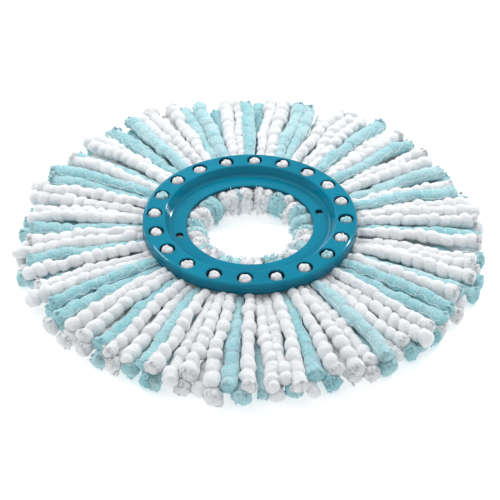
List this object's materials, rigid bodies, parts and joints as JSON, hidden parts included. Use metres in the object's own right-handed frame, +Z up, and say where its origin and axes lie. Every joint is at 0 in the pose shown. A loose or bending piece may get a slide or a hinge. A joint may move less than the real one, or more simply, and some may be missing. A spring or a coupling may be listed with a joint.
{
  "type": "spin mop head",
  "caption": "Round spin mop replacement head: a moulded ring with a recess for the mop's plate, on a disc of radiating, beaded yarn strands.",
  "frame": {"origin": "on the spin axis, at the surface that the head lies on", "axes": "+Z up along the spin axis, out of the plate recess; +X through one of the two locating holes in the flange"},
  "size_m": [0.3526, 0.3526, 0.0316],
  "materials": {
    "ring_plastic": "glossy moulded plastic",
    "yarn_white": "velvety chenille yarn",
    "yarn_aqua": "velvety yarn, wound with thin white thread"
  },
  "bodies": {
    "head": {"upper_ring": "ring_plastic", "clamp_ring": "ring_plastic", "fold_01": "yarn_white", "fold_02": "yarn_white", "fold_03": "yarn_white", "fold_04": "yarn_white", "fold_05": "yarn_white", "fold_06": "yarn_white", "fold_07": "yarn_white", "fold_08": "yarn_white", "fold_09": "yarn_white", "fold_10": "yarn_white", "fold_11": "yarn_white", "fold_12": "yarn_white", "fold_13": "yarn_white", "fold_14": "yarn_white", "fold_15": "yarn_white", "fold_16": "yarn_white", "fold_17": "yarn_white", "fold_18": "yarn_white", "fold_19": "yarn_white", "fold_20": "yarn_white"},
    "tuft_01_body": {"tuft_01": "yarn_aqua"},
    "tuft_02_body": {"tuft_02": "yarn_white"},
    "tuft_03_body": {"tuft_03": "yarn_white"},
    "tuft_04_body": {"tuft_04": "yarn_aqua"},
    "tuft_05_body": {"tuft_05": "yarn_white"},
    "tuft_06_body": {"tuft_06": "yarn_white"},
    "tuft_07_body": {"tuft_07": "yarn_aqua"},
    "tuft_08_body": {"tuft_08": "yarn_white"},
    "tuft_09_body": {"tuft_09": "yarn_white"},
    "tuft_10_body": {"tuft_10": "yarn_aqua"},
    "tuft_11_body": {"tuft_11": "yarn_white"},
    "tuft_12_body": {"tuft_12": "yarn_white"},
    "tuft_13_body": {"tuft_13": "yarn_aqua"},
    "tuft_14_body": {"tuft_14": "yarn_white"},
    "tuft_15_body": {"tuft_15": "yarn_white"},
    "tuft_16_body": {"tuft_16": "yarn_aqua"},
    "tuft_17_body": {"tuft_17": "yarn_white"},
    "tuft_18_body": {"tuft_18": "yarn_white"},
    "tuft_19_body": {"tuft_19": "yarn_aqua"},
    "tuft_20_body": {"tuft_20": "yarn_white"}
  },
  "joints": [
    {"name": "tuft_01_hinge", "type": "hinge", "parent": "head", "child": "tuft_01_body", "pos_m": [0.08, 0, 0.017], "axis": [0, -1, 0], "range_deg": [-35, 35]},
    {"name": "tuft_02_hinge", "type": "hinge", "parent": "head", "child": "tuft_02_body", "pos_m": [0.07608, 0.02472, 0.017], "axis": [0.309, -0.9511, 0], "range_deg": [-35, 35]},
    {"name": "tuft_03_hinge", "type": "hinge", "parent": "head", "child": "tuft_03_body", "pos_m": [0.06472, 0.04702, 0.017], "axis": [0.5878, -0.809, 0], "range_deg": [-35, 35]},
    {"name": "tuft_04_hinge", "type": "hinge", "parent": "head", "child": "tuft_04_body", "pos_m": [0.04702, 0.06472, 0.017], "axis": [0.809, -0.5878, 0], "range_deg": [-35, 35]},
    {"name": "tuft_05_hinge", "type": "hinge", "parent": "head", "child": "tuft_05_body", "pos_m": [0.02472, 0.07608, 0.017], "axis": [0.9511, -0.309, 0], "range_deg": [-35, 35]},
    {"name": "tuft_06_hinge", "type": "hinge", "parent": "head", "child": "tuft_06_body", "pos_m": [0, 0.08, 0.017], "axis": [1, 0, 0], "range_deg": [-35, 35]},
    {"name": "tuft_07_hinge", "type": "hinge", "parent": "head", "child": "tuft_07_body", "pos_m": [-0.02472, 0.07608, 0.017], "axis": [0.9511, 0.309, 0], "range_deg": [-35, 35]},
    {"name": "tuft_08_hinge", "type": "hinge", "parent": "head", "child": "tuft_08_body", "pos_m": [-0.04702, 0.06472, 0.017], "axis": [0.809, 0.5878, 0], "range_deg": [-35, 35]},
    {"name": "tuft_09_hinge", "type": "hinge", "parent": "head", "child": "tuft_09_body", "pos_m": [-0.06472, 0.04702, 0.017], "axis": [0.5878, 0.809, 0], "range_deg": [-35, 35]},
    {"name": "tuft_10_hinge", "type": "hinge", "parent": "head", "child": "tuft_10_body", "pos_m": [-0.07608, 0.02472, 0.017], "axis": [0.309, 0.9511, 0], "range_deg": [-35, 35]},
    {"name": "tuft_11_hinge", "type": "hinge", "parent": "head", "child": "tuft_11_body", "pos_m": [-0.08, 0, 0.017], "axis": [0, 1, 0], "range_deg": [-35, 35]},
    {"name": "tuft_12_hinge", "type": "hinge", "parent": "head", "child": "tuft_12_body", "pos_m": [-0.07608, -0.02472, 0.017], "axis": [-0.309, 0.9511, 0], "range_deg": [-35, 35]},
    {"name": "tuft_13_hinge", "type": "hinge", "parent": "head", "child": "tuft_13_body", "pos_m": [-0.06472, -0.04702, 0.017], "axis": [-0.5878, 0.809, 0], "range_deg": [-35, 35]},
    {"name": "tuft_14_hinge", "type": "hinge", "parent": "head", "child": "tuft_14_body", "pos_m": [-0.04702, -0.06472, 0.017], "axis": [-0.809, 0.5878, 0], "range_deg": [-35, 35]},
    {"name": "tuft_15_hinge", "type": "hinge", "parent": "head", "child": "tuft_15_body", "pos_m": [-0.02472, -0.07608, 0.017], "axis": [-0.9511, 0.309, 0], "range_deg": [-35, 35]},
    {"name": "tuft_16_hinge", "type": "hinge", "parent": "head", "child": "tuft_16_body", "pos_m": [0, -0.08, 0.017], "axis": [-1, 0, 0], "range_deg": [-35, 35]},
    {"name": "tuft_17_hinge", "type": "hinge", "parent": "head", "child": "tuft_17_body", "pos_m": [0.02472, -0.07608, 0.017], "axis": [-0.9511, -0.309, 0], "range_deg": [-35, 35]},
    {"name": "tuft_18_hinge", "type": "hinge", "parent": "head", "child": "tuft_18_body", "pos_m": [0.04702, -0.06472, 0.017], "axis": [-0.809, -0.5878, 0], "range_deg": [-35, 35]},
    {"name": "tuft_19_hinge", "type": "hinge", "parent": "head", "child": "tuft_19_body", "pos_m": [0.06472, -0.04702, 0.017], "axis": [-0.5878, -0.809, 0], "range_deg": [-35, 35]},
    {"name": "tuft_20_hinge", "type": "hinge", "parent": "head", "child": "tuft_20_body", "pos_m": [0.07608, -0.02472, 0.017], "axis": [-0.309, -0.9511, 0], "range_deg": [-35, 35]}
  ]
}
